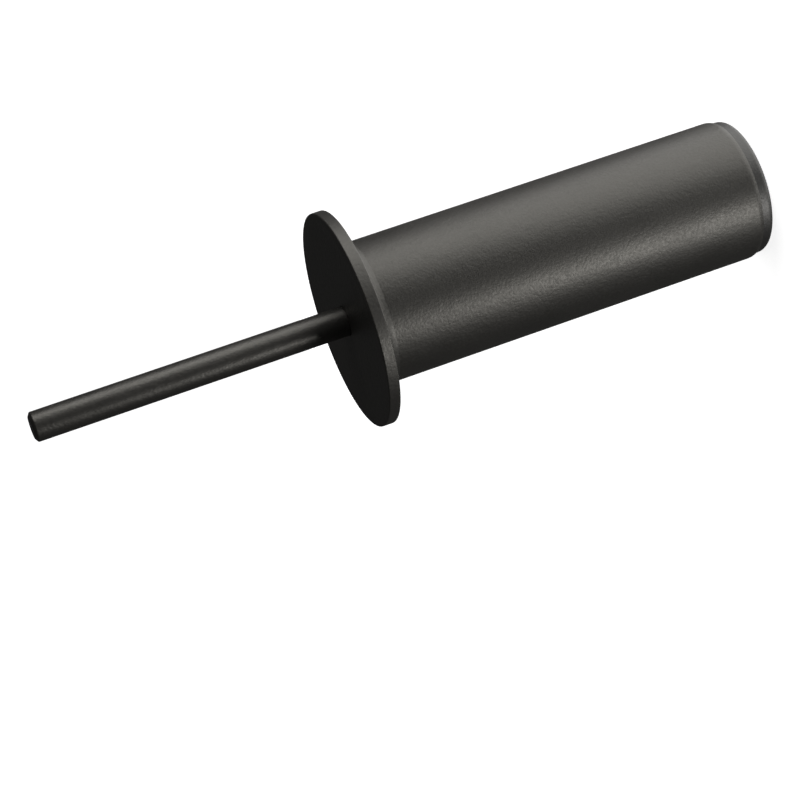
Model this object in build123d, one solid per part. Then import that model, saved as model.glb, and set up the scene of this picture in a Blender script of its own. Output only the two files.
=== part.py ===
from build123d import *
import os

# Weight stack pin extender: a selector pin, a flange and a tube that carries loose weight plates.
# The pin, flange and tube are steel and are welded together. A plastic plug closes the tube.
# All pieces are round about the Z axis. The extender stands on the plug's flat end, pin upwards,
# and z = 0 is that flat end. Lengths are in millimetres.

# Selector pin
pin_diameter = 10.0
pin_reach = 106.7  # from the flange's front face to the tip
pin_tip_bevel_length = 0.8  # along the pin
pin_tip_bevel_depth = 1.25  # across the pin
tail_step = 0.25  # the tail, turned to fit the flange, has a radius this much smaller
tail_rise = 0.3  # the turned part starts this far in front of the flange
tail_past_weld = 2.5  # how far the tail stands past its weld bead, inside the tube

# Flange
flange_diameter = 72.8
flange_thickness = 4.0
flange_edge_break = 0.3
tail_clearance = 0.1  # all round the pin's tail, in the flange's hole
hole_mouth_clearance = 0.1  # all round the pin, at the hole's countersunk front edge

# Loading sleeve, a piece of round tube
sleeve_diameter = 48.0
sleeve_wall = 3.0
sleeve_length = 137.0
sleeve_edge_length = 1.7  # bevel of the outer edge at the plug, along the tube
sleeve_edge_depth = 1.0  # the same bevel, across the wall
sleeve_root_face = 1.0  # wall left at the flange, where the tube is bevelled for its weld

# Weld beads
sleeve_weld_leg = 5.0
pin_weld_leg = 4.0

# End cap, a moulded plug
cap_head_height = 4.4
cap_head_step = 0.9  # how much smaller the head's radius is than the tube's
cap_edge_radius = 2.1
cap_end_thickness = 3.2  # wall between the flat end and the hollow shank
cap_shank_length = 17.0
cap_shank_wall = 1.8
cap_shank_lead = 0.8  # chamfer that starts the shank into the tube
cap_barb_count = 3  # rings round the shank that grip the bore
cap_barb_height = 2.0  # from the shank to the bore, which the tips all but touch
cap_barb_clearance = 0.03  # between the tips and the bore
cap_barb_root_thickness = 2.4
cap_barb_tip_thickness = 0.6
cap_first_barb_offset = 2.4  # from the head's seat to the first barb's flat side
cap_last_barb_offset = 4.2  # from the last barb's flat side to the shank's end
cap_rib_thickness = 1.6
cap_rib_length = 11.0

# Radii and heights that follow from the sizes above
pin_radius = pin_diameter / 2
tail_radius = pin_radius - tail_step
flange_radius = flange_diameter / 2
sleeve_radius = sleeve_diameter / 2
bore_radius = sleeve_radius - sleeve_wall
sleeve_bottom = cap_head_height
flange_back = sleeve_bottom + sleeve_length
flange_front = flange_back + flange_thickness


def turned(*outline):
    """The solid that a closed outline of (radius, height) points makes when turned about the Z axis."""
    with BuildSketch(Plane.XZ) as half:
        with BuildLine():
            Polyline(*outline, close=True)
        make_face()
    return revolve(half.sketch, axis=Axis.Z)


def selector_pin():
    tail_end = flange_back - pin_weld_leg - tail_past_weld
    tail_top = flange_front + tail_rise
    tip = flange_front + pin_reach
    return turned(
        (0, tail_end),
        (tail_radius, tail_end),
        (tail_radius, tail_top),
        (pin_radius, tail_top),
        (pin_radius, tip - pin_tip_bevel_length),
        (pin_radius - pin_tip_bevel_depth, tip),
        (0, tip),
    )


def flange_disc():
    hole_radius = tail_radius + tail_clearance
    mouth_radius = pin_radius + hole_mouth_clearance
    return turned(
        (hole_radius, flange_back),
        (flange_radius - flange_edge_break, flange_back),
        (flange_radius, flange_back + flange_edge_break),
        (flange_radius, flange_front - flange_edge_break),
        (flange_radius - flange_edge_break, flange_front),
        (mouth_radius, flange_front),
        (hole_radius, flange_front - (mouth_radius - hole_radius)),
    )


def loading_sleeve():
    return turned(
        (bore_radius, sleeve_bottom),
        (sleeve_radius - sleeve_edge_depth, sleeve_bottom),
        (sleeve_radius, sleeve_bottom + sleeve_edge_length),
        (sleeve_radius, flange_back - sleeve_weld_leg),
        (bore_radius + sleeve_root_face, flange_back),
        (bore_radius, flange_back),
    )


def weld_bead(wall_radius, root_radius, leg):
    """A bead that joins a round wall to the flange's back and fills the wall's bevel, if it has one."""
    return turned(
        (wall_radius, flange_back - leg),
        (root_radius, flange_back),
        (wall_radius + leg, flange_back),
    )


def end_cap():
    head_radius = sleeve_radius - cap_head_step
    shank_radius = bore_radius - cap_barb_height
    mid_wall_radius = shank_radius - cap_shank_wall / 2
    hollow_radius = shank_radius - cap_shank_wall
    shank_end = sleeve_bottom + cap_shank_length
    plug = turned(
        (0, 0),
        (head_radius, 0),
        (head_radius, sleeve_bottom),
        (shank_radius, sleeve_bottom),
        (shank_radius, shank_end - cap_shank_lead),
        (shank_radius - cap_shank_lead, shank_end),
        (hollow_radius, shank_end),
        (hollow_radius, cap_end_thickness),
        (0, cap_end_thickness),
    )
    end_face_rim = plug.edges().group_by(Axis.Z)[0]
    plug = fillet(end_face_rim, cap_edge_radius)

    barb_tip_radius = bore_radius - cap_barb_clearance
    first_barb = sleeve_bottom + cap_first_barb_offset
    last_barb = shank_end - cap_last_barb_offset
    barb_pitch = (last_barb - first_barb) / max(cap_barb_count - 1, 1)
    for number in range(cap_barb_count):
        flat_side = first_barb + number * barb_pitch
        plug += turned(
            (mid_wall_radius, flat_side),
            (barb_tip_radius, flat_side),
            (barb_tip_radius, flat_side + cap_barb_tip_thickness),
            (shank_radius, flat_side + cap_barb_root_thickness),
            (mid_wall_radius, flat_side + cap_barb_root_thickness),
        )

    rib = Box(
        2 * mid_wall_radius, cap_rib_thickness, cap_rib_length, align=(Align.CENTER, Align.CENTER, Align.MIN)
    )
    rib = Pos(0, 0, cap_end_thickness) * rib
    return plug + rib + Rot(0, 0, 90) * rib


pieces = {
    "selector_pin": selector_pin(),
    "flange_disc": flange_disc(),
    "loading_sleeve": loading_sleeve(),
    "sleeve_weld": weld_bead(sleeve_radius, bore_radius + sleeve_root_face, sleeve_weld_leg),
    "pin_weld": weld_bead(tail_radius, tail_radius, pin_weld_leg),
    "end_cap": end_cap(),
}

os.makedirs("parts", exist_ok=True)
for name, piece in pieces.items():
    piece.label = name
    export_step(piece, f"parts/{name}.step")
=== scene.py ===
import math

import bmesh
import bpy
from bpy.props import FloatProperty, FloatVectorProperty, IntProperty, PointerProperty
from mathutils import Matrix, Vector


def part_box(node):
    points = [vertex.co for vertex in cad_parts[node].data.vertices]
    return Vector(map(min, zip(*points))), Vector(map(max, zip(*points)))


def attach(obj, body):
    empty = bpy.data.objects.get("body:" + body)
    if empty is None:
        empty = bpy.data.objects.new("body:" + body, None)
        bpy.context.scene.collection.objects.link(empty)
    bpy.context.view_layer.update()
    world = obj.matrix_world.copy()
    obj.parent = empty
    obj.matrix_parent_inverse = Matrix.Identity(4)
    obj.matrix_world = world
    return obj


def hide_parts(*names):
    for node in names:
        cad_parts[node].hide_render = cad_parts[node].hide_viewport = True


bl_info = {
    "name": "Weight Stack Pin Extender",
    "version": (1, 0, 0),
    "blender": (4, 5, 0),
    "location": "View3D > Sidebar > Pin Extender",
    "description": "Dresses a weight stack pin extender in powder coat, weld beads and moulded plastic",
    "category": "Object",
}

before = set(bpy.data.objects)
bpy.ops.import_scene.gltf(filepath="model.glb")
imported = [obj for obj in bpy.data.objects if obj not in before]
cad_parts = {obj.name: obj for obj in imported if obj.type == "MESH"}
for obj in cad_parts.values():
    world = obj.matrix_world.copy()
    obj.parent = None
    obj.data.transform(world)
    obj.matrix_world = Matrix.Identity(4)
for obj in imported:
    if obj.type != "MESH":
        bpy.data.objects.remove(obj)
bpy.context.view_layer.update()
BODY = "root"
FULL_TURN = 2 * math.pi
MM = 0.001
WHITE = (1.0, 1.0, 1.0, 1.0)

# A Mix node's colour sockets go by number, because its sockets share their names
MIX_COLOUR_A = 6
MIX_COLOUR_B = 7
MIX_COLOUR_RESULT = 2

# Sizes that the frame gives, in metres
TAIL_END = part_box("selector_pin")[0].z
PIN_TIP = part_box("selector_pin")[1].z
PIN_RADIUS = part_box("selector_pin")[1].x
FLANGE_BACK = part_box("flange_disc")[0].z
FLANGE_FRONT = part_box("flange_disc")[1].z
FLANGE_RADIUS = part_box("flange_disc")[1].x
SLEEVE_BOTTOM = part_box("loading_sleeve")[0].z
SLEEVE_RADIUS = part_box("loading_sleeve")[1].x
SLEEVE_WELD_LEG = FLANGE_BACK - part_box("sleeve_weld")[0].z
PIN_WELD_LEG = FLANGE_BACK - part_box("pin_weld")[0].z
TAIL_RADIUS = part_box("pin_weld")[1].x - PIN_WELD_LEG
CAP_HEAD_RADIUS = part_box("end_cap")[1].x
CAP_SHANK_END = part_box("end_cap")[1].z


def length(name, description, default):
    """A length in metres, shown in the scene's unit."""
    return FloatProperty(
        name=name, description=description, default=default, min=0.0, unit="LENGTH", precision=5
    )


def share(name, description, default):
    """A number from 0 to 1."""
    return FloatProperty(
        name=name, description=description, default=default, min=0.0, max=1.0, subtype="FACTOR"
    )


def colour(name, description, default):
    """A colour in linear red, green and blue."""
    return FloatVectorProperty(
        name=name, description=description, default=default, size=3, min=0.0, max=1.0, subtype="COLOR"
    )


def degrees(name, description, default):
    """An angle, given here in degrees and kept in radians."""
    return FloatProperty(
        name=name, description=description, default=math.radians(default), subtype="ANGLE"
    )


def brightness(name, description, default):
    """A lamp's brightness, where 1 shows white."""
    return FloatProperty(name=name, description=description, default=default, min=0.0)


class ExtenderSizes(bpy.types.PropertyGroup):
    """Sizes of the turned pieces, the welds and the plug that the frame's boxes don't give."""

    steps_around: IntProperty(
        name="Steps Around", description="Facets round each turned piece", default=256, min=16, max=512
    )
    steps_rounding: IntProperty(
        name="Steps per Rounding", description="Facets across each rounding", default=8, min=1, max=24
    )
    coat_rounding: length("Coat Rounding", "How far the coat rounds the steel's square edges", 0.3 * MM)
    tip_bevel_length: length("Tip Bevel Length", "Bevel of the pin's tip, along the pin", 0.8 * MM)
    tip_bevel_depth: length("Tip Bevel Depth", "Bevel of the pin's tip, across the pin", 1.25 * MM)
    tip_bevel_rounding: length("Tip Bevel Rounding", "Where the bevel meets the pin's side", 0.6 * MM)
    tail_rise: length("Tail Rise", "From the flange's front to the pin's turned tail", 0.3 * MM)
    tail_clearance: length("Tail Clearance", "Gap round the pin's tail in the flange's hole", 0.1 * MM)
    flange_edge_rounding: length("Flange Edge Rounding", "Rounded edges of the flange", 0.45 * MM)
    sleeve_wall: length("Sleeve Wall", "Wall of the tube", 3.0 * MM)
    sleeve_edge_length: length("Sleeve Edge Length", "Bevel of the open end, along the tube", 1.3 * MM)
    sleeve_edge_depth: length("Sleeve Edge Depth", "Bevel of the open end, across the wall", 0.45 * MM)
    sleeve_edge_rounding: length("Sleeve Edge Rounding", "Where the bevel meets the side", 4.0 * MM)
    sleeve_lip_rounding: length("Sleeve Lip Rounding", "Where the bevel meets the end face", 0.06 * MM)
    sleeve_root_face: length("Sleeve Root Face", "Wall left by the bevel for the weld", 1.0 * MM)
    bead_hollow: length("Bead Hollow", "How far a bead's face dips below a flat one", 1.35 * MM)
    ripple_pitch: length("Ripple Pitch", "From one ripple of a bead to the next", 2.4 * MM)
    ripple_height: length("Ripple Height", "Height of a weld bead's ripples under the coat", 0.05 * MM)
    cap_edge_radius: length("Cap Edge Radius", "Round edge of the plug's head", 2.1 * MM)
    cap_seat_rounding: length("Cap Seat Rounding", "Head's edge on the tube's end", 0.06 * MM)
    cap_end_thickness: length("Cap End Thickness", "Wall that closes the plug's hollow", 3.2 * MM)
    cap_shank_wall: length("Cap Shank Wall", "Wall of the plug's hollow shank", 1.8 * MM)
    cap_shank_lead: length("Cap Shank Lead", "Chamfer that starts the shank into the tube", 0.8 * MM)
    barb_count: IntProperty(
        name="Barbs", description="Rings round the shank that grip the tube", default=3, min=1, max=6
    )
    barb_height: length("Barb Height", "From the shank to a barb's tip", 2.0 * MM)
    barb_clearance: length("Barb Clearance", "Between a barb's tip and the bore", 0.03 * MM)
    barb_root: length("Barb Root Thickness", "Thickness of a barb at the shank", 2.4 * MM)
    barb_tip: length("Barb Tip Thickness", "Thickness of a barb at its tip", 0.6 * MM)
    first_barb: length("First Barb", "From the head's seat to the first barb", 2.4 * MM)
    last_barb: length("Last Barb", "From the last barb to the shank's end", 4.2 * MM)
    rib_thickness: length("Rib Thickness", "Thickness of the crossed ribs in the shank", 1.6 * MM)
    rib_length: length("Rib Length", "Length of the crossed ribs along the shank", 11.0 * MM)


class ExtenderFinish(bpy.types.PropertyGroup):
    """Colours and surface of the coat and of the plug's plastic."""

    coat_dark: colour("Coat Dark", "Powder coat in its darker patches", (0.0162, 0.0157, 0.0146))
    coat_light: colour("Coat Light", "Powder coat in its lighter patches", (0.0208, 0.0202, 0.0188))
    coat_roughness: share("Coat Roughness", "Roughness of the powder coat", 0.485)
    pin_roughness: share("Pin Roughness", "Roughness of the powder coat on the smoother pin", 0.43)
    coat_speckle: share("Coat Speckle", "How much the coat's roughness varies", 0.06)
    coat_grain: length("Coat Grain", "Distance between the coat's finest bumps", 0.80 * MM)
    coat_peel: length("Coat Peel", "Distance between the coat's broader waves", 2.6 * MM)
    coat_peel_share: share("Coat Peel Share", "How much of the relief is the broader waves", 0.45)
    coat_relief: length("Coat Relief", "Height of the coat's bumps", 0.145 * MM)
    coat_gloss: share("Coat Gloss", "Strength of the coat's reflections", 1.0)
    coat_tint: colour("Coat Tint", "Warm tint of what the coat reflects", (1.0, 0.965, 0.885))
    plastic_dark: colour("Plastic Dark", "Plastic in its darker patches", (0.0140, 0.0140, 0.0138))
    plastic_light: colour("Plastic Light", "Plastic in its lighter patches", (0.0170, 0.0170, 0.0167))
    plastic_roughness: share("Plastic Roughness", "Roughness of the plug's plastic", 0.49)
    plastic_speckle: share("Plastic Speckle", "How much the plastic's roughness varies", 0.03)
    plastic_gloss: share("Plastic Gloss", "Strength of the plastic's reflections", 1.0)
    plastic_tint: colour("Plastic Tint", "Tint of what the plastic reflects", (1.0, 0.98, 0.94))
    plastic_grain: length("Plastic Grain", "Distance between the mould's bumps", 0.70 * MM)
    plastic_peel: length("Plastic Peel", "Distance between the plastic's broader waves", 4.0 * MM)
    plastic_peel_share: share(
        "Plastic Peel Share", "How much of the relief is the broader waves", 0.2
    )
    plastic_relief: length("Plastic Relief", "Height of the mould's finish", 0.10 * MM)


class ExtenderStage(bpy.types.PropertyGroup):
    """Camera, lamps and floor."""

    camera_distance: length("Camera Distance", "From the object's axis", 0.7519)
    camera_height: length("Camera Height", "Above the floor", 0.3200)
    camera_pitch: degrees("Camera Pitch", "How far the camera looks down", 13.702)
    camera_heading: degrees("Camera Heading", "How far the camera looks past the object's axis", 2.294)
    camera_roll: degrees("Camera Roll", "Turn about the line of sight", -109.371)
    camera_lens: FloatProperty(
        name="Lens", description="Focal length", default=107.03, min=1.0, unit="CAMERA"
    )
    camera_sensor: FloatProperty(
        name="Sensor Width", description="Width of the sensor", default=36.0, min=1.0, unit="CAMERA"
    )
    key_brightness: brightness("Key Brightness", "Large panel on the +X side, close to the object", 1.9)
    pin_brightness: brightness("Pin Brightness", "Tall panel on the +X side, beside the pin", 1.72)
    fill_brightness: brightness("Fill Brightness", "Small panel on the -X side", 24.3)
    front_brightness: brightness("Front Brightness", "Dim panel beside the camera", 0.12)
    low_brightness: brightness("Low Brightness", "Panel below the end cap, on the -X side", 2.3)
    back_brightness: brightness("Back Brightness", "Low panel behind the object", 1.6)
    surroundings: share("Surroundings", "Grey level of the room that the object sees", 0.036)
    reflected_white: share("Reflected White", "How much of the white background reflections show", 0.01)
    floor_reach: length("Floor Reach", "From the object to each side of the floor", 40.0)
    floor_base: share("Floor Base", "Floor's brightness inside the deepest shadow", 0.86)
    floor_paper: share("Floor Paper", "How much of the wash lamp's light the floor gives back", 0.8)
    wash_brightness: brightness("Wash Brightness", "Sunlight that falls on the floor alone", 1.0)
    wash_spread: degrees("Wash Spread", "Softness of the object's shadow on the floor", 50.0)
    wash_tilt: degrees("Wash Tilt", "Turn of the wash lamp about X", -20.0)
    wash_slant: degrees("Wash Slant", "Turn of the wash lamp about Y", 15.0)


class NodeWriter:
    """Writes a node tree. Each call adds a node, sets it up and links or fills its inputs."""

    def __init__(self, tree):
        self.tree = tree
        tree.nodes.clear()

    def add(self, kind, inputs=None, **settings):
        """Adds a node. Inputs go by name or number and hold a value or another node's socket."""
        node = self.tree.nodes.new(kind)
        for name, value in settings.items():
            setattr(node, name, value)
        for key, value in (inputs or {}).items():
            if isinstance(value, bpy.types.NodeSocket):
                self.tree.links.new(value, node.inputs[key])
            else:
                node.inputs[key].default_value = value
        return node

    def math(self, operation, *values):
        """Adds a Math node and gives its result's socket."""
        node = self.add("ShaderNodeMath", dict(enumerate(values)), operation=operation)
        return node.outputs["Value"]


def add_sockets(tree, in_out, sockets):
    """Gives a tree its inputs or outputs, from rows of (name, kind, default)."""
    for name, kind, default in sockets:
        socket = tree.interface.new_socket(name=name, in_out=in_out, socket_type=kind)
        if default is not None:
            socket.default_value = default


def new_geometry_tree(name, inputs):
    """A geometry tree with these inputs and nothing in it yet."""
    tree = bpy.data.node_groups.new(name, "GeometryNodeTree")
    add_sockets(tree, "INPUT", [("Geometry", "NodeSocketGeometry", None)] + inputs)
    add_sockets(tree, "OUTPUT", [("Geometry", "NodeSocketGeometry", None)])
    return tree


def finish_tree(writer, geometry, material):
    """The end of each geometry tree: smooth faces, real geometry and its material."""
    smooth = writer.add("GeometryNodeSetShadeSmooth", {"Geometry": geometry})
    real = writer.add("GeometryNodeRealizeInstances", {"Geometry": smooth.outputs[0]})
    dressed = writer.add("GeometryNodeSetMaterial", {"Geometry": real.outputs[0], "Material": material})
    writer.add("NodeGroupOutput", {"Geometry": dressed.outputs[0]})


def grid_cell(writer, columns):
    """Row and column of each point of a grid with this many columns, from the point's number."""
    index = writer.add("GeometryNodeInputIndex").outputs[0]
    # The half keeps a row's first point clear of the row before it when the division rounds
    row = writer.math("FLOOR", writer.math("DIVIDE", writer.math("ADD", index, 0.5), columns))
    column = writer.math("SUBTRACT", index, writer.math("MULTIPLY", row, columns))
    return row, column


def turn_grid(writer, grid, place, angle, merge_distance):
    """Moves a grid's points to their places, turned about the Z axis, and joins edges that meet."""
    turned = writer.add(
        "ShaderNodeVectorRotate", {"Vector": place, "Angle": angle}, rotation_type="Z_AXIS"
    )
    moved = writer.add("GeometryNodeSetPosition", {"Geometry": grid, "Position": turned.outputs[0]})
    merged = writer.add(
        "GeometryNodeMergeByDistance", {"Geometry": moved.outputs[0], "Distance": merge_distance}
    )
    return merged.outputs[0]


def turned_tree():
    """Rounds an outline's corners by its rounding attribute and turns it about the Z axis."""
    tree = new_geometry_tree(
        "Turned piece",
        [
            ("Closed Outline", "NodeSocketBool", False),
            ("Steps Around", "NodeSocketInt", 256),
            ("Steps per Rounding", "NodeSocketInt", 8),
            ("Merge Distance", "NodeSocketFloat", 0.001 * MM),
            ("Material", "NodeSocketMaterial", None),
        ],
    )
    writer = NodeWriter(tree)
    given = writer.add("NodeGroupInput").outputs
    outline = writer.add("GeometryNodeMeshToCurve", {"Mesh": given["Geometry"]})
    rounding = writer.add("GeometryNodeInputNamedAttribute", {"Name": "rounding"}, data_type="FLOAT")
    rounded = writer.add(
        "GeometryNodeFilletCurve",
        {
            "Curve": outline.outputs[0],
            "Count": given["Steps per Rounding"],
            "Radius": rounding.outputs["Attribute"],
            "Limit Radius": True,
        },
        mode="POLY",
    )
    points = writer.add("GeometryNodeCurveToPoints", {"Curve": rounded.outputs[0]}, mode="EVALUATED")
    counted = writer.add(
        "GeometryNodeAttributeDomainSize",
        {"Geometry": points.outputs["Points"]},
        component="POINTCLOUD",
    )
    count = counted.outputs["Point Count"]
    rows = writer.math("ADD", count, given["Closed Outline"])
    columns = writer.math("ADD", given["Steps Around"], 1.0)
    grid = writer.add("GeometryNodeMeshGrid", {"Vertices X": rows, "Vertices Y": columns})
    row, column = grid_cell(writer, columns)
    step_angle = writer.math("DIVIDE", FULL_TURN, given["Steps Around"])
    # The half step keeps the facets' edges off the planes in which other pieces meet this one
    angle = writer.math("MULTIPLY", writer.math("ADD", column, 0.5), step_angle)
    place = writer.add(
        "GeometryNodeSampleIndex",
        {
            "Geometry": points.outputs["Points"],
            "Value": writer.add("GeometryNodeInputPosition").outputs[0],
            "Index": writer.math("MODULO", row, count),
        },
        data_type="FLOAT_VECTOR",
        domain="POINT",
    )
    piece = turn_grid(
        writer, grid.outputs["Mesh"], place.outputs[0], angle, given["Merge Distance"]
    )
    finish_tree(writer, piece, given["Material"])
    return tree


def crossed_ribs_tree():
    """Joins two crossed upright ribs to a piece."""
    tree = new_geometry_tree(
        "Crossed ribs",
        [
            ("Width", "NodeSocketFloat", 36.0 * MM),
            ("Thickness", "NodeSocketFloat", 1.6 * MM),
            ("Length", "NodeSocketFloat", 11.0 * MM),
            ("Bottom", "NodeSocketFloat", 0.0),
            ("Material", "NodeSocketMaterial", None),
        ],
    )
    writer = NodeWriter(tree)
    given = writer.add("NodeGroupInput").outputs
    size = writer.add(
        "ShaderNodeCombineXYZ", {"X": given["Width"], "Y": given["Thickness"], "Z": given["Length"]}
    )
    middle = writer.math("ADD", given["Bottom"], writer.math("MULTIPLY", given["Length"], 0.5))
    place = writer.add("ShaderNodeCombineXYZ", {"Z": middle})
    rib = writer.add("GeometryNodeMeshCube", {"Size": size.outputs[0]})
    joined = writer.add("GeometryNodeMeshBoolean", operation="UNION", solver="EXACT")
    tree.links.new(given["Geometry"], joined.inputs["Mesh 2"])
    for turn in (0.0, FULL_TURN / 4):
        placed = writer.add(
            "GeometryNodeTransform",
            {
                "Geometry": rib.outputs["Mesh"],
                "Translation": place.outputs[0],
                "Rotation": (0.0, 0.0, turn),
            },
        )
        tree.links.new(placed.outputs[0], joined.inputs["Mesh 2"])
    finish_tree(writer, joined.outputs["Mesh"], given["Material"])
    return tree


def weld_bead_tree():
    """A fillet weld round the Z axis, under a plate: a closed ring whose face dips and has ripples."""
    tree = new_geometry_tree(
        "Weld bead",
        [
            ("Wall Radius", "NodeSocketFloat", SLEEVE_RADIUS),
            ("Root Radius", "NodeSocketFloat", SLEEVE_RADIUS),
            ("Plate Height", "NodeSocketFloat", FLANGE_BACK),
            ("Leg", "NodeSocketFloat", SLEEVE_WELD_LEG),
            ("Hollow", "NodeSocketFloat", 1.35 * MM),
            ("Ripples", "NodeSocketInt", 96),
            ("Ripple Height", "NodeSocketFloat", 0.05 * MM),
            ("Ripple Bend", "NodeSocketFloat", 0.9),
            ("Unevenness", "NodeSocketFloat", 1.4),
            ("Wander Scale", "NodeSocketFloat", 4.0),
            ("Wander Detail", "NodeSocketFloat", 3.0),
            ("Steps per Ripple", "NodeSocketInt", 10),
            ("Steps Across", "NodeSocketInt", 18),
            ("Seed", "NodeSocketFloat", 3.0),
            ("Merge Distance", "NodeSocketFloat", 0.001 * MM),
            ("Material", "NodeSocketMaterial", None),
        ],
    )
    writer = NodeWriter(tree)
    given = writer.add("NodeGroupInput").outputs
    steps_around = writer.math("MULTIPLY", given["Ripples"], given["Steps per Ripple"])
    columns = writer.math("ADD", steps_around, 1.0)
    # Rows run from the wall's toe to the plate's toe, then to the root, and back to the first.
    ring_rows = writer.math("ADD", given["Steps Across"], 2.0)
    rows = writer.math("ADD", ring_rows, 1.0)
    grid = writer.add("GeometryNodeMeshGrid", {"Vertices X": rows, "Vertices Y": columns})
    row, column = grid_cell(writer, columns)
    ring_row = writer.math("MODULO", row, ring_rows)
    across = writer.math("MINIMUM", writer.math("DIVIDE", ring_row, given["Steps Across"]), 1.0)
    is_root = writer.math("GREATER_THAN", ring_row, writer.math("ADD", given["Steps Across"], 0.5))
    turn = writer.math("DIVIDE", column, steps_around)
    angle = writer.math("MULTIPLY", writer.math("FRACT", turn), FULL_TURN)

    # A slow wander that is the same at the start and end of the ring
    circle = writer.add(
        "ShaderNodeCombineXYZ", {"X": writer.math("COSINE", angle), "Y": writer.math("SINE", angle)}
    )
    wander = writer.add(
        "ShaderNodeTexNoise",
        {
            "Vector": circle.outputs[0],
            "W": given["Seed"],
            "Scale": given["Wander Scale"],
            "Detail": given["Wander Detail"],
        },
        noise_dimensions="4D",
    )
    off_mean = writer.math("SUBTRACT", wander.outputs[0], 0.5)
    wandering = writer.math("MULTIPLY", off_mean, given["Unevenness"])

    # Each ripple is a crescent whose middle leads its ends
    off_middle = writer.math("SUBTRACT", writer.math("MULTIPLY", across, 2.0), 1.0)
    lag = writer.math("MULTIPLY", writer.math("POWER", off_middle, 2.0), given["Ripple Bend"])
    phase = writer.math(
        "ADD", writer.math("SUBTRACT", writer.math("MULTIPLY", turn, given["Ripples"]), lag), wandering
    )
    crest = writer.math("ABSOLUTE", writer.math("SINE", writer.math("MULTIPLY", phase, math.pi)))
    envelope = writer.math("SUBTRACT", 1.0, writer.math("POWER", off_middle, 4.0))
    arch = writer.math("SUBTRACT", 1.0, writer.math("POWER", off_middle, 2.0))
    ripple = writer.math("MULTIPLY", writer.math("MULTIPLY", crest, given["Ripple Height"]), envelope)
    dip = writer.math("MULTIPLY", arch, given["Hollow"])

    # The face leans at 45 degrees from the wall to the plate, and moves straight out or in
    outward = writer.math("MULTIPLY", writer.math("SUBTRACT", ripple, dip), math.sin(FULL_TURN / 8))
    run = writer.math("MULTIPLY", across, given["Leg"])
    face_radius = writer.math("ADD", writer.math("ADD", given["Wall Radius"], run), outward)
    toe_height = writer.math("SUBTRACT", given["Plate Height"], given["Leg"])
    face_height = writer.math("SUBTRACT", writer.math("ADD", toe_height, run), outward)
    radius = writer.add(
        "ShaderNodeMix",
        {"Factor": is_root, "A": face_radius, "B": given["Root Radius"]},
        data_type="FLOAT",
    )
    height = writer.add(
        "ShaderNodeMix",
        {"Factor": is_root, "A": face_height, "B": given["Plate Height"]},
        data_type="FLOAT",
    )
    place = writer.add("ShaderNodeCombineXYZ", {"X": radius.outputs[0], "Z": height.outputs[0]})
    bead = turn_grid(
        writer, grid.outputs["Mesh"], place.outputs[0], angle, given["Merge Distance"]
    )
    finish_tree(writer, bead, given["Material"])
    return tree


def shared_tree(name, build):
    """The tree of this name, built when it is first asked for."""
    return bpy.data.node_groups.get(name) or build()


def run_tree(piece, tree, values):
    """Gives a piece a Geometry Nodes modifier with these inputs, by name."""
    modifier = piece.modifiers.new(tree.name, "NODES")
    modifier.node_group = tree
    for item in tree.interface.items_tree:
        if item.in_out == "INPUT" and item.name in values:
            modifier[item.identifier] = values[item.name]


def settle(piece):
    """Replaces a piece's mesh by what its modifiers make of it, and removes them."""
    depsgraph = bpy.context.evaluated_depsgraph_get()
    made = bpy.data.meshes.new_from_object(
        piece.evaluated_get(depsgraph), preserve_all_data_layers=True, depsgraph=depsgraph
    )
    piece.modifiers.clear()
    before = piece.data
    piece.data = made
    made.name = piece.name
    bpy.data.meshes.remove(before)


def shade(piece, crease_degrees=32.0):
    """Turns a closed piece's faces outward and keeps flats flat beside its small roundings."""
    mesh = bmesh.new()
    mesh.from_mesh(piece.data)
    bmesh.ops.recalc_face_normals(mesh, faces=mesh.faces)
    if mesh.calc_volume(signed=True) < 0:
        bmesh.ops.reverse_faces(mesh, faces=mesh.faces)
    mesh.to_mesh(piece.data)
    mesh.free()
    piece.data.set_sharp_from_angle(angle=math.radians(crease_degrees))
    even = piece.modifiers.new("Even shading", "WEIGHTED_NORMAL")
    even.keep_sharp = True
    settle(piece)


def new_piece(name, mesh):
    """A new object in the scene, at the origin."""
    piece = bpy.data.objects.new(name, mesh)
    bpy.context.scene.collection.objects.link(piece)
    return piece


def turned_piece(name, outline, material, sizes, closed=False):
    """A piece turned from (radius, height, rounding) points.

    An open outline starts and ends on the axis.
    """
    last = len(outline) - 1
    edges = [(number, number + 1) for number in range(last)]
    if closed:
        edges.append((last, 0))
    mesh = bpy.data.meshes.new(name)
    mesh.from_pydata([(radius, 0.0, height) for radius, height, _ in outline], edges, [])
    rounding = mesh.attributes.new("rounding", "FLOAT", "POINT")
    rounding.data.foreach_set("value", [amount for _, _, amount in outline])
    piece = new_piece(name, mesh)
    run_tree(
        piece,
        shared_tree("Turned piece", turned_tree),
        {
            "Closed Outline": closed,
            "Steps Around": sizes.steps_around,
            "Steps per Rounding": sizes.steps_rounding,
            "Material": material,
        },
    )
    settle(piece)
    return piece


def put_in_place(piece, node):
    """Lets a finished piece stand for its CAD node."""
    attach(piece, BODY)
    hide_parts(node)


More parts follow.
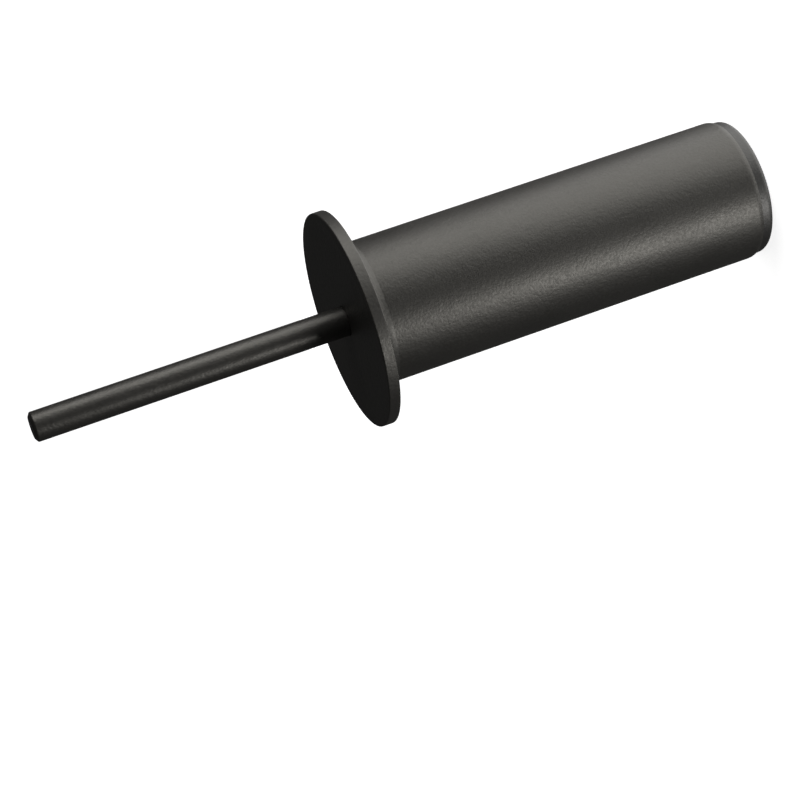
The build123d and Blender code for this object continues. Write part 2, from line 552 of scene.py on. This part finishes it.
def fine_relief_group():
    """Bumps, tone and gloss of a sprayed or moulded surface, from a position in metres.

    Patch is the size of its slow changes. Tone and gloss run from about 0 to 1.
    """
    group = bpy.data.node_groups.new("Fine relief", "ShaderNodeTree")
    add_sockets(
        group,
        "INPUT",
        [
            ("Position", "NodeSocketVector", None),
            ("Grain", "NodeSocketFloat", 0.8 * MM),
            ("Peel", "NodeSocketFloat", 2.6 * MM),
            ("Peel Share", "NodeSocketFloat", 0.45),
            ("Patch", "NodeSocketFloat", 18.0 * MM),
            ("Grain in Tone", "NodeSocketFloat", 0.6),
            ("Grain in Gloss", "NodeSocketFloat", 0.75),
        ],
    )
    add_sockets(
        group,
        "OUTPUT",
        [
            ("Height", "NodeSocketFloat", None),
            ("Tone", "NodeSocketFloat", None),
            ("Gloss", "NodeSocketFloat", None),
        ],
    )
    writer = NodeWriter(group)
    given = writer.add("NodeGroupInput").outputs

    def noise(size, detail):
        scale = writer.math("DIVIDE", 1.0, size)
        texture = writer.add(
            "ShaderNodeTexNoise", {"Vector": given["Position"], "Scale": scale, "Detail": detail}
        )
        return texture.outputs[0]

    def spread_out(value, low, high):
        """Brings a value that runs from low to high to 0 to 1."""
        spread = writer.add("ShaderNodeMapRange", {"Value": value, "From Min": low, "From Max": high})
        return spread.outputs[0]

    grain = noise(given["Grain"], detail=2.5)
    peel = noise(given["Peel"], detail=1.0)
    patch = noise(given["Patch"], detail=3.0)
    height = writer.add(
        "ShaderNodeMix", {"Factor": given["Peel Share"], "A": grain, "B": peel}, data_type="FLOAT"
    )
    mottled = writer.math("ADD", patch, writer.math("MULTIPLY", grain, given["Grain in Tone"]))
    speckled = writer.add(
        "ShaderNodeMix", {"Factor": given["Grain in Gloss"], "A": patch, "B": grain}, data_type="FLOAT"
    )
    writer.add(
        "NodeGroupOutput",
        {
            "Height": height.outputs[0],
            "Tone": spread_out(mottled, low=0.55, high=1.05),
            "Gloss": spread_out(speckled.outputs[0], low=0.3, high=0.7),
        },
    )
    return group


def opaque(rgb):
    """A colour with full alpha, as node sockets take it."""
    return (*rgb, 1.0)


def surface_material(name, dark, light, roughness, speckle, relief, gloss, tint, bumps):
    """A black surface that gets its colour, roughness and bumps from the fine relief group."""
    material = bpy.data.materials.new(name)
    material.use_nodes = True
    writer = NodeWriter(material.node_tree)
    position = writer.add("ShaderNodeTexCoord").outputs["Object"]
    group = writer.add("ShaderNodeGroup", node_tree=shared_tree("Fine relief", fine_relief_group))
    writer.tree.links.new(position, group.inputs["Position"])
    for key, value in bumps.items():
        group.inputs[key].default_value = value
    base = writer.add("ShaderNodeMix", {"Factor": group.outputs["Tone"]}, data_type="RGBA")
    base.inputs[MIX_COLOUR_A].default_value = opaque(dark)
    base.inputs[MIX_COLOUR_B].default_value = opaque(light)
    rough = writer.add(
        "ShaderNodeMapRange",
        {
            "Value": group.outputs["Gloss"],
            "To Min": roughness - speckle,
            "To Max": roughness + speckle,
        },
    )
    bump = writer.add(
        "ShaderNodeBump", {"Strength": 1.0, "Distance": relief, "Height": group.outputs["Height"]}
    )
    surface = writer.add(
        "ShaderNodeBsdfPrincipled",
        {
            "Base Color": base.outputs[MIX_COLOUR_RESULT],
            "Roughness": rough.outputs[0],
            "Normal": bump.outputs[0],
            "Specular IOR Level": gloss,
            "Specular Tint": opaque(tint),
        },
    )
    writer.add("ShaderNodeOutputMaterial", {"Surface": surface.outputs[0]})
    return material


def powder_coat(name, roughness):
    """Satin black powder coat with a fine grain over broader waves."""
    finish = bpy.context.scene.extender_finish
    return bpy.data.materials.get(name) or surface_material(
        name,
        dark=finish.coat_dark,
        light=finish.coat_light,
        roughness=roughness,
        speckle=finish.coat_speckle,
        relief=finish.coat_relief,
        gloss=finish.coat_gloss,
        tint=finish.coat_tint,
        bumps={
            "Grain": finish.coat_grain,
            "Peel": finish.coat_peel,
            "Peel Share": finish.coat_peel_share,
        },
    )


def frame_coat():
    """The coat on the flange, the sleeve and the weld beads."""
    return powder_coat("Powder coat", bpy.context.scene.extender_finish.coat_roughness)


def pin_coat():
    """The same coat on the pin, whose drawn steel leaves it smoother."""
    return powder_coat("Powder coat on pin", bpy.context.scene.extender_finish.pin_roughness)


def cap_plastic():
    """Moulded black plastic, with a finer grain than the coat."""
    finish = bpy.context.scene.extender_finish
    return bpy.data.materials.get("Cap plastic") or surface_material(
        "Cap plastic",
        dark=finish.plastic_dark,
        light=finish.plastic_light,
        roughness=finish.plastic_roughness,
        speckle=finish.plastic_speckle,
        relief=finish.plastic_relief,
        gloss=finish.plastic_gloss,
        tint=finish.plastic_tint,
        bumps={
            "Grain": finish.plastic_grain,
            "Peel": finish.plastic_peel,
            "Peel Share": finish.plastic_peel_share,
        },
    )


class ExtenderOperator:
    """What all of the operators share."""

    bl_options = {"REGISTER", "UNDO"}


class EXTENDER_OT_selector_pin(ExtenderOperator, bpy.types.Operator):
    """Turns the selector pin, its bevelled tip rounded by the coat"""

    bl_idname = "extender.selector_pin"
    bl_label = "Selector Pin"

    def execute(self, context):
        sizes = context.scene.extender_sizes
        tail_top = FLANGE_FRONT + sizes.tail_rise
        tip_radius = PIN_RADIUS - sizes.tip_bevel_depth
        outline = [
            (0.0, TAIL_END, 0.0),
            (TAIL_RADIUS, TAIL_END, 0.0),
            (TAIL_RADIUS, tail_top, 0.0),
            (PIN_RADIUS, tail_top, 0.0),
            (PIN_RADIUS, PIN_TIP - sizes.tip_bevel_length, sizes.tip_bevel_rounding),
            (tip_radius, PIN_TIP, sizes.coat_rounding),
            (0.0, PIN_TIP, 0.0),
        ]
        pin = turned_piece("coated_pin", outline, pin_coat(), sizes)
        shade(pin)
        put_in_place(pin, "selector_pin")
        return {"FINISHED"}


class EXTENDER_OT_flange_disc(ExtenderOperator, bpy.types.Operator):
    """Turns the flange, with its edges rounded by the coat and its hole countersunk for the pin"""

    bl_idname = "extender.flange_disc"
    bl_label = "Flange Disc"

    def execute(self, context):
        sizes = context.scene.extender_sizes
        hole_radius = TAIL_RADIUS + sizes.tail_clearance
        mouth_radius = PIN_RADIUS + sizes.tail_clearance
        edge = sizes.flange_edge_rounding
        outline = [
            (hole_radius, FLANGE_BACK, 0.0),
            (FLANGE_RADIUS, FLANGE_BACK, edge),
            (FLANGE_RADIUS, FLANGE_FRONT, edge),
            (mouth_radius, FLANGE_FRONT, 0.0),
            (hole_radius, FLANGE_FRONT - (mouth_radius - hole_radius), 0.0),
        ]
        flange = turned_piece("coated_flange", outline, frame_coat(), sizes, closed=True)
        shade(flange)
        put_in_place(flange, "flange_disc")
        return {"FINISHED"}


class EXTENDER_OT_loading_sleeve(ExtenderOperator, bpy.types.Operator):
    """Turns the loading sleeve, with its open end rounded over"""

    bl_idname = "extender.loading_sleeve"
    bl_label = "Loading Sleeve"

    def execute(self, context):
        sizes = context.scene.extender_sizes
        bore_radius = SLEEVE_RADIUS - sizes.sleeve_wall
        edge_height = SLEEVE_BOTTOM + sizes.sleeve_edge_length
        outline = [
            (bore_radius, SLEEVE_BOTTOM, sizes.coat_rounding),
            (SLEEVE_RADIUS - sizes.sleeve_edge_depth, SLEEVE_BOTTOM, sizes.sleeve_lip_rounding),
            (SLEEVE_RADIUS, edge_height, sizes.sleeve_edge_rounding),
            (SLEEVE_RADIUS, FLANGE_BACK - SLEEVE_WELD_LEG, 0.0),
            (bore_radius + sizes.sleeve_root_face, FLANGE_BACK, 0.0),
            (bore_radius, FLANGE_BACK, 0.0),
        ]
        sleeve = turned_piece("coated_sleeve", outline, frame_coat(), sizes, closed=True)
        shade(sleeve)
        put_in_place(sleeve, "loading_sleeve")
        return {"FINISHED"}


class EXTENDER_OT_weld_beads(ExtenderOperator, bpy.types.Operator):
    """Runs the two rippled weld beads round the sleeve and round the pin's tail"""

    bl_idname = "extender.weld_beads"
    bl_label = "Weld Beads"

    def execute(self, context):
        sizes = context.scene.extender_sizes
        sleeve_root = SLEEVE_RADIUS - sizes.sleeve_wall + sizes.sleeve_root_face
        beads = (
            ("sleeve_bead", "sleeve_weld", SLEEVE_RADIUS, sleeve_root, SLEEVE_WELD_LEG),
            ("pin_bead", "pin_weld", TAIL_RADIUS, TAIL_RADIUS, PIN_WELD_LEG),
        )
        for name, node, wall_radius, root_radius, leg in beads:
            bead = new_piece(name, bpy.data.meshes.new(name))
            middle_radius = wall_radius + leg / 2
            run_tree(
                bead,
                shared_tree("Weld bead", weld_bead_tree),
                {
                    "Wall Radius": wall_radius,
                    "Root Radius": root_radius,
                    "Plate Height": FLANGE_BACK,
                    "Leg": leg,
                    "Hollow": sizes.bead_hollow,
                    "Ripples": round(FULL_TURN * middle_radius / sizes.ripple_pitch),
                    "Ripple Height": sizes.ripple_height,
                    "Material": frame_coat(),
                },
            )
            settle(bead)
            shade(bead)
            put_in_place(bead, node)
        return {"FINISHED"}


class EXTENDER_OT_end_cap(ExtenderOperator, bpy.types.Operator):
    """Moulds the plug: a round-edged head, a hollow barbed shank and crossed ribs"""

    bl_idname = "extender.end_cap"
    bl_label = "End Cap"

    def execute(self, context):
        sizes = context.scene.extender_sizes
        bore_radius = SLEEVE_RADIUS - sizes.sleeve_wall
        shank_radius = bore_radius - sizes.barb_height
        hollow_radius = shank_radius - sizes.cap_shank_wall
        barb_tip_radius = bore_radius - sizes.barb_clearance
        outline = [
            (0.0, 0.0, 0.0),
            (CAP_HEAD_RADIUS, 0.0, sizes.cap_edge_radius),
            (CAP_HEAD_RADIUS, SLEEVE_BOTTOM, sizes.cap_seat_rounding),
            (shank_radius, SLEEVE_BOTTOM, 0.0),
        ]
        lowest = SLEEVE_BOTTOM + sizes.first_barb
        highest = CAP_SHANK_END - sizes.last_barb
        pitch = (highest - lowest) / max(sizes.barb_count - 1, 1)
        for number in range(sizes.barb_count):
            flat_side = lowest + number * pitch
            outline += [
                (shank_radius, flat_side, 0.0),
                (barb_tip_radius, flat_side, 0.0),
                (barb_tip_radius, flat_side + sizes.barb_tip, 0.0),
                (shank_radius, flat_side + sizes.barb_root, 0.0),
            ]
        outline += [
            (shank_radius, CAP_SHANK_END - sizes.cap_shank_lead, 0.0),
            (shank_radius - sizes.cap_shank_lead, CAP_SHANK_END, 0.0),
            (hollow_radius, CAP_SHANK_END, 0.0),
            (hollow_radius, sizes.cap_end_thickness, 0.0),
            (0.0, sizes.cap_end_thickness, 0.0),
        ]
        cap = turned_piece("moulded_cap", outline, cap_plastic(), sizes)
        # The ribs start inside the end wall, so that no face of theirs lies on the wall's own
        rib_bottom = sizes.cap_end_thickness / 2
        rib_top = sizes.cap_end_thickness + sizes.rib_length
        run_tree(
            cap,
            shared_tree("Crossed ribs", crossed_ribs_tree),
            {
                "Width": shank_radius + hollow_radius,
                "Thickness": sizes.rib_thickness,
                "Length": rib_top - rib_bottom,
                "Bottom": rib_bottom,
                "Material": cap_plastic(),
            },
        )
        settle(cap)
        shade(cap)
        put_in_place(cap, "end_cap")
        return {"FINISHED"}


def panel_lamp(
    name, bearing_degrees, distance, height, width, tall, aim_height, level, lean_degrees=0.0
):
    """A rectangle of light that faces a point of the object's axis.

    Its bearing is 0 on the camera's side and grows towards +X. Its lean turns it in its own plane.
    """
    data = bpy.data.lights.new(name, "AREA")
    data.shape = "RECTANGLE"
    data.size = width
    data.size_y = tall
    data.energy = level * width * tall * math.pi
    angle = math.radians(bearing_degrees)
    place = Vector((math.sin(angle) * distance, -math.cos(angle) * distance, height))
    facing = (Vector((0.0, 0.0, aim_height)) - place).normalized()
    aimed = facing.to_track_quat("-Z", "Y").to_matrix().to_4x4()
    lean = Matrix.Rotation(math.radians(lean_degrees), 4, "Z")
    lamp = bpy.data.objects.new(name, data)
    lamp.matrix_world = Matrix.Translation(place) @ aimed @ lean
    lamp.visible_camera = False
    bpy.context.scene.collection.objects.link(lamp)


def white_floor_material(base, paper_grey):
    """White to the camera where the wash lamp reaches it, a little darker in the object's shadow."""
    material = bpy.data.materials.new("White floor")
    material.use_nodes = True
    writer = NodeWriter(material.node_tree)
    glow = writer.add("ShaderNodeEmission", {"Color": WHITE, "Strength": base})
    paper = writer.add("ShaderNodeBsdfDiffuse", {"Color": opaque((paper_grey,) * 3)})
    both = writer.add("ShaderNodeAddShader", {0: glow.outputs[0], 1: paper.outputs[0]})
    writer.add("ShaderNodeOutputMaterial", {"Surface": both.outputs[0]})
    return material


class EXTENDER_OT_stage(ExtenderOperator, bpy.types.Operator):
    """Sets up the camera, the floor, the white surroundings and the lamps"""

    bl_idname = "extender.stage"
    bl_label = "Stage"

    def execute(self, context):
        stage = context.scene.extender_stage
        self.make_camera(context, stage)
        self.make_floor_wash(stage, self.make_floor(stage))
        self.make_world(context, stage)
        self.make_lamps(stage)
        context.scene.view_settings.view_transform = "Standard"
        return {"FINISHED"}

    def make_camera(self, context, stage):
        data = bpy.data.cameras.new("camera")
        data.lens = stage.camera_lens
        data.sensor_width = stage.camera_sensor
        camera = bpy.data.objects.new("camera", data)
        place = Matrix.Translation((0.0, -stage.camera_distance, stage.camera_height))
        heading = Matrix.Rotation(stage.camera_heading, 4, "Z")
        pitch = Matrix.Rotation(FULL_TURN / 4 - stage.camera_pitch, 4, "X")
        roll = Matrix.Rotation(stage.camera_roll, 4, "Z")
        camera.matrix_world = place @ heading @ pitch @ roll
        context.scene.collection.objects.link(camera)
        context.scene.camera = camera

    def make_floor(self, stage):
        reach = stage.floor_reach
        sides = ((-1, -1), (1, -1), (1, 1), (-1, 1))
        corners = [(x * reach, y * reach, 0.0) for x, y in sides]
        mesh = bpy.data.meshes.new("floor")
        mesh.from_pydata(corners, [], [(0, 1, 2, 3)])
        mesh.materials.append(white_floor_material(stage.floor_base, stage.floor_paper))
        floor = new_piece("floor", mesh)
        floor.visible_diffuse = False
        floor.visible_glossy = False
        floor.visible_shadow = False
        return floor

    def make_floor_wash(self, stage, floor):
        """Light for the floor alone, on which the object casts its shadow."""
        wash = bpy.data.lights.new("floor_wash", "SUN")
        wash.energy = stage.wash_brightness
        wash.angle = stage.wash_spread
        lamp = bpy.data.objects.new("floor_wash", wash)
        lamp.rotation_euler = (stage.wash_tilt, stage.wash_slant, 0.0)
        bpy.context.scene.collection.objects.link(lamp)
        only_floor = bpy.data.collections.new("lit_by_wash")
        only_floor.objects.link(floor)
        lamp.light_linking.receiver_collection = only_floor

    def make_world(self, context, stage):
        world = bpy.data.worlds.new("surroundings")
        context.scene.world = world
        world.use_nodes = True
        writer = NodeWriter(world.node_tree)
        grey = opaque((stage.surroundings,) * 3)
        room = writer.add("ShaderNodeBackground", {"Color": grey, "Strength": 1.0})
        white = writer.add("ShaderNodeBackground", {"Color": WHITE, "Strength": 1.0})
        rays = writer.add("ShaderNodeLightPath").outputs
        mirrored = writer.math("MAXIMUM", rays["Is Glossy Ray"], rays["Is Transmission Ray"])
        seen = writer.math(
            "MAXIMUM", rays["Is Camera Ray"], writer.math("MULTIPLY", mirrored, stage.reflected_white)
        )
        mixed = writer.add("ShaderNodeMixShader", {0: seen, 1: room.outputs[0], 2: white.outputs[0]})
        writer.add("ShaderNodeOutputWorld", {"Surface": mixed.outputs[0]})

    def make_lamps(self, stage):
        panel_lamp(
            "key_panel",
            bearing_degrees=81.0,
            distance=0.35,
            height=-0.38,
            width=0.82,
            tall=1.264,
            aim_height=-0.151,
            level=stage.key_brightness,
            lean_degrees=33.3,
        )
        panel_lamp(
            "pin_panel",
            bearing_degrees=64.0,
            distance=0.634,
            height=0.25,
            width=0.379,
            tall=0.45,
            aim_height=0.107,
            level=stage.pin_brightness,
        )
        panel_lamp(
            "fill_panel",
            bearing_degrees=-44.9,
            distance=0.94,
            height=-0.33,
            width=0.148,
            tall=0.34,
            aim_height=0.09,
            level=stage.fill_brightness,
            lean_degrees=-15.0,
        )
        panel_lamp(
            "front_panel",
            bearing_degrees=-9.6,
            distance=1.217,
            height=-0.267,
            width=0.396,
            tall=0.554,
            aim_height=0.153,
            level=stage.front_brightness,
        )
        panel_lamp(
            "low_panel",
            bearing_degrees=-45.0,
            distance=0.26,
            height=-0.62,
            width=0.3,
            tall=0.4,
            aim_height=0.0,
            level=stage.low_brightness,
        )
        panel_lamp(
            "back_panel",
            bearing_degrees=180.0,
            distance=0.7,
            height=-0.15,
            width=0.35,
            tall=0.5,
            aim_height=0.07,
            level=stage.back_brightness,
        )


OPERATORS = (
    EXTENDER_OT_selector_pin,
    EXTENDER_OT_flange_disc,
    EXTENDER_OT_loading_sleeve,
    EXTENDER_OT_weld_beads,
    EXTENDER_OT_end_cap,
    EXTENDER_OT_stage,
)


class EXTENDER_PT_sidebar(bpy.types.Panel):
    """Lists the extender's sizes, colours and operators"""

    bl_idname = "EXTENDER_PT_sidebar"
    bl_label = "Pin Extender"
    bl_space_type = "VIEW_3D"
    bl_region_type = "UI"
    bl_category = "Pin Extender"

    def draw(self, context):
        scene = context.scene
        for owner in (scene.extender_sizes, scene.extender_finish, scene.extender_stage):
            box = self.layout.box()
            for name in owner.bl_rna.properties.keys():
                if name not in ("rna_type", "name"):
                    box.prop(owner, name)
        for operator in OPERATORS:
            self.layout.operator(operator.bl_idname)


CLASSES = (ExtenderSizes, ExtenderFinish, ExtenderStage, *OPERATORS, EXTENDER_PT_sidebar)


def register():
    for item in CLASSES:
        bpy.utils.register_class(item)
    bpy.types.Scene.extender_sizes = PointerProperty(type=ExtenderSizes)
    bpy.types.Scene.extender_finish = PointerProperty(type=ExtenderFinish)
    bpy.types.Scene.extender_stage = PointerProperty(type=ExtenderStage)


def unregister():
    del bpy.types.Scene.extender_sizes
    del bpy.types.Scene.extender_finish
    del bpy.types.Scene.extender_stage
    for item in reversed(CLASSES):
        bpy.utils.unregister_class(item)


def main():
    register()
    bpy.ops.extender.selector_pin()
    bpy.ops.extender.flange_disc()
    bpy.ops.extender.loading_sleeve()
    bpy.ops.extender.weld_beads()
    bpy.ops.extender.end_cap()
    bpy.ops.extender.stage()


if __name__ == "__main__":
    main()
